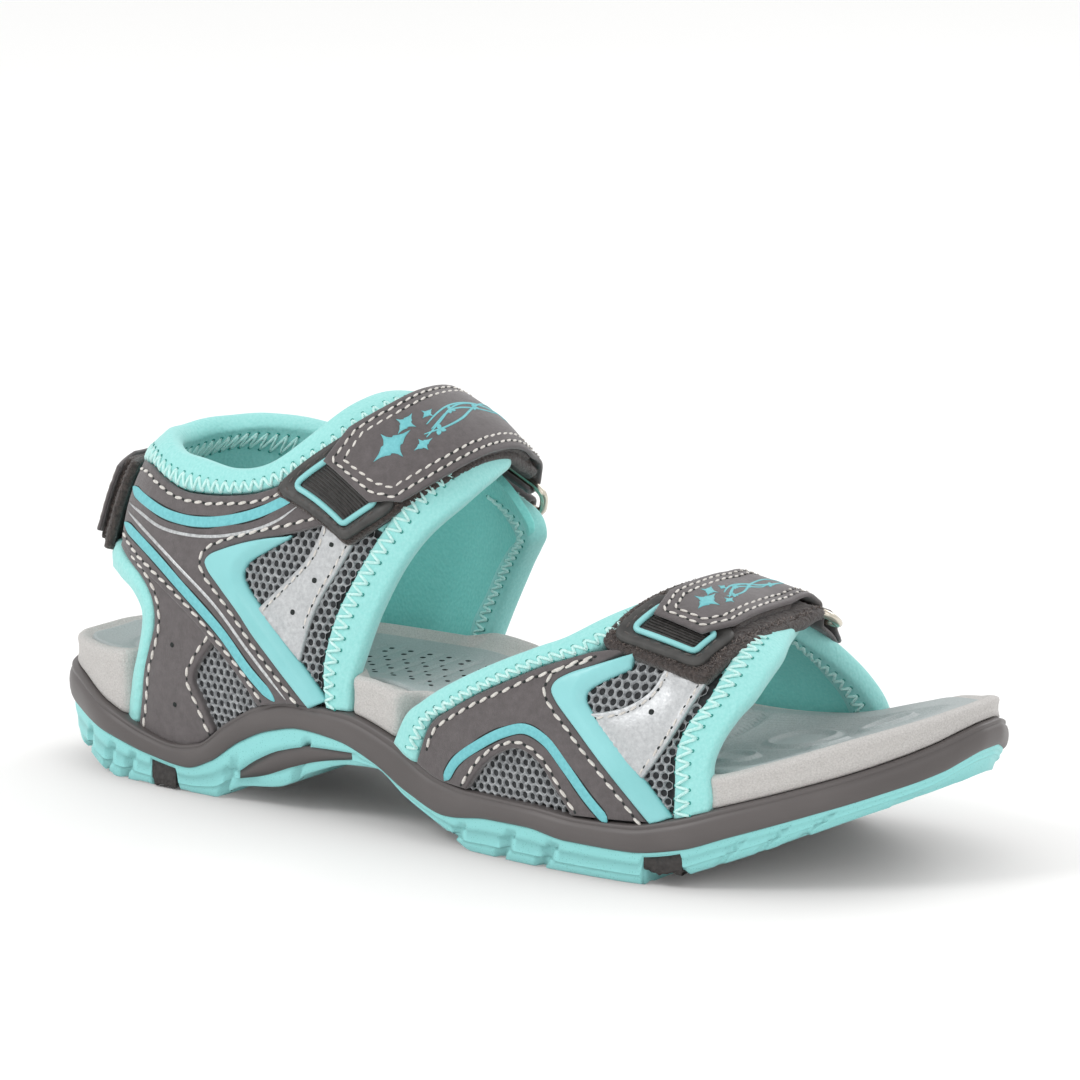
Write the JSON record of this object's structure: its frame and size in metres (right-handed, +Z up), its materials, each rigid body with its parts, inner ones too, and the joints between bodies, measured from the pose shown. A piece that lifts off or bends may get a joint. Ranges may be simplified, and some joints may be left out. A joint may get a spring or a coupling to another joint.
{
  "type": "strappy sport sandal",
  "caption": "Open-toe, open-heel sport sandal for the right foot, with a lugged sole and adjustable hook-and-loop straps over forefoot, instep and heel.",
  "frame": {"origin": "middle of the bounding box at its base, on the floor the sole stands on", "axes": "+X towards the toe, +Y towards the inner (big-toe) side of the right foot, +Z up"},
  "size_m": [0.262, 0.0924, 0.1047],
  "materials": {
    "mint_rubber": "moulded rubber with a fine speckle, satin",
    "dark_rubber": "moulded rubber, satin",
    "footbed_foam": "finely grained foam, matt",
    "footbed_cover": "embossed foam with fine ridges, matt",
    "board": "pressed fibre board",
    "neoprene": "fine knit over foam, matt",
    "air_mesh": "honeycomb spacer mesh",
    "nubuck": "brushed nubuck with printed stripes",
    "silver_leather": "metallic coated, soft sheen",
    "mint_moulding": "smooth moulded plastic, satin",
    "patch_plastic": "moulded, ribbed centre",
    "hook_and_loop": "fuzzy loop and hook tape",
    "webbing": "woven",
    "ring_steel": "plated wire, bright"
  },
  "bodies": {
    "sandal": {"outsole": "mint_rubber", "heel_tread_insert": "dark_rubber", "forefoot_tread_insert": "dark_rubber", "arch_shank": "dark_rubber", "midsole": "dark_rubber", "insole_board": "board", "footbed": "footbed_foam", "footbed_cover": "footbed_cover", "quarter_lining_lateral": "neoprene", "quarter_mesh_lateral": "air_mesh", "collar_binding_lateral": "neoprene", "front_binding_lateral": "neoprene", "collar_overlay_lateral": "nubuck", "diagonal_overlay_lateral": "nubuck", "leg_overlay_lateral": "nubuck", "chevron_lateral": "mint_moulding", "silver_panel_lateral": "silver_leather", "quarter_lining_medial": "neoprene", "quarter_mesh_medial": "air_mesh", "collar_binding_medial": "neoprene", "front_binding_medial": "neoprene", "collar_overlay_medial": "nubuck", "diagonal_overlay_medial": "nubuck", "leg_overlay_medial": "nubuck", "chevron_medial": "mint_moulding", "heel_lining": "neoprene", "vamp_lining_lateral": "neoprene", "vamp_mesh_lateral": "air_mesh", "vamp_rear_binding_lateral": "neoprene", "vamp_front_binding_lateral": "neoprene", "vamp_overlay_lateral": "nubuck", "vamp_chevron_lateral": "mint_moulding", "vamp_silver_panel_lateral": "silver_leather", "vamp_lining_medial": "neoprene", "vamp_mesh_medial": "air_mesh", "vamp_rear_binding_medial": "neoprene", "vamp_front_binding_medial": "neoprene", "vamp_overlay_medial": "nubuck", "vamp_chevron_medial": "mint_moulding", "instep_loop_strap": "hook_and_loop", "instep_patch": "patch_plastic", "instep_patch_inlay": "mint_moulding", "instep_ring_keeper": "webbing", "forefoot_loop_strap": "hook_and_loop", "forefoot_patch": "patch_plastic", "forefoot_patch_inlay": "mint_moulding", "forefoot_ring_keeper": "webbing", "heel_loop_strap": "hook_and_loop", "heel_ring_keeper": "webbing"},
    "instep_ring_body": {"instep_ring": "ring_steel"},
    "instep_flap_body": {"instep_flap": "nubuck", "instep_flap_hook": "hook_and_loop"},
    "forefoot_ring_body": {"forefoot_ring": "ring_steel"},
    "forefoot_flap_body": {"forefoot_flap": "nubuck", "forefoot_flap_hook": "hook_and_loop"},
    "heel_ring_body": {"heel_ring": "ring_steel"},
    "heel_flap_body": {"heel_flap": "nubuck", "heel_flap_hook": "hook_and_loop"}
  },
  "joints": [
    {"name": "instep_ring_swing", "type": "hinge", "parent": "sandal", "child": "instep_ring_body", "pos_m": [-0.0258, 0.03168, 0.07547], "axis": [-0.896, 0.0201, 0.4436], "range_deg": [0, 25]},
    {"name": "instep_flap_open", "type": "hinge", "parent": "instep_ring_body", "child": "instep_flap_body", "pos_m": [-0.02265, 0.02828, 0.08199], "axis": [-0.896, 0.0201, 0.4436], "range_deg": [0, 110]},
    {"name": "forefoot_ring_swing", "type": "hinge", "parent": "sandal", "child": "forefoot_ring_body", "pos_m": [0.06576, 0.02698, 0.05424], "axis": [-0.9847, 0.0141, 0.1735], "range_deg": [0, 25]},
    {"name": "forefoot_flap_open", "type": "hinge", "parent": "forefoot_ring_body", "child": "forefoot_flap_body", "pos_m": [0.06636, 0.02004, 0.05819], "axis": [-0.9847, 0.0141, 0.1735], "range_deg": [0, 110]},
    {"name": "heel_ring_swing", "type": "hinge", "parent": "sandal", "child": "heel_ring_body", "pos_m": [-0.09192, 0.02979, 0.0687], "axis": [-0.0148, 0.2516, -0.9677], "range_deg": [0, 25]},
    {"name": "heel_flap_open", "type": "hinge", "parent": "heel_ring_body", "child": "heel_flap_body", "pos_m": [-0.09952, 0.02733, 0.06818], "axis": [-0.0148, 0.2516, -0.9677], "range_deg": [0, 110]}
  ]
}
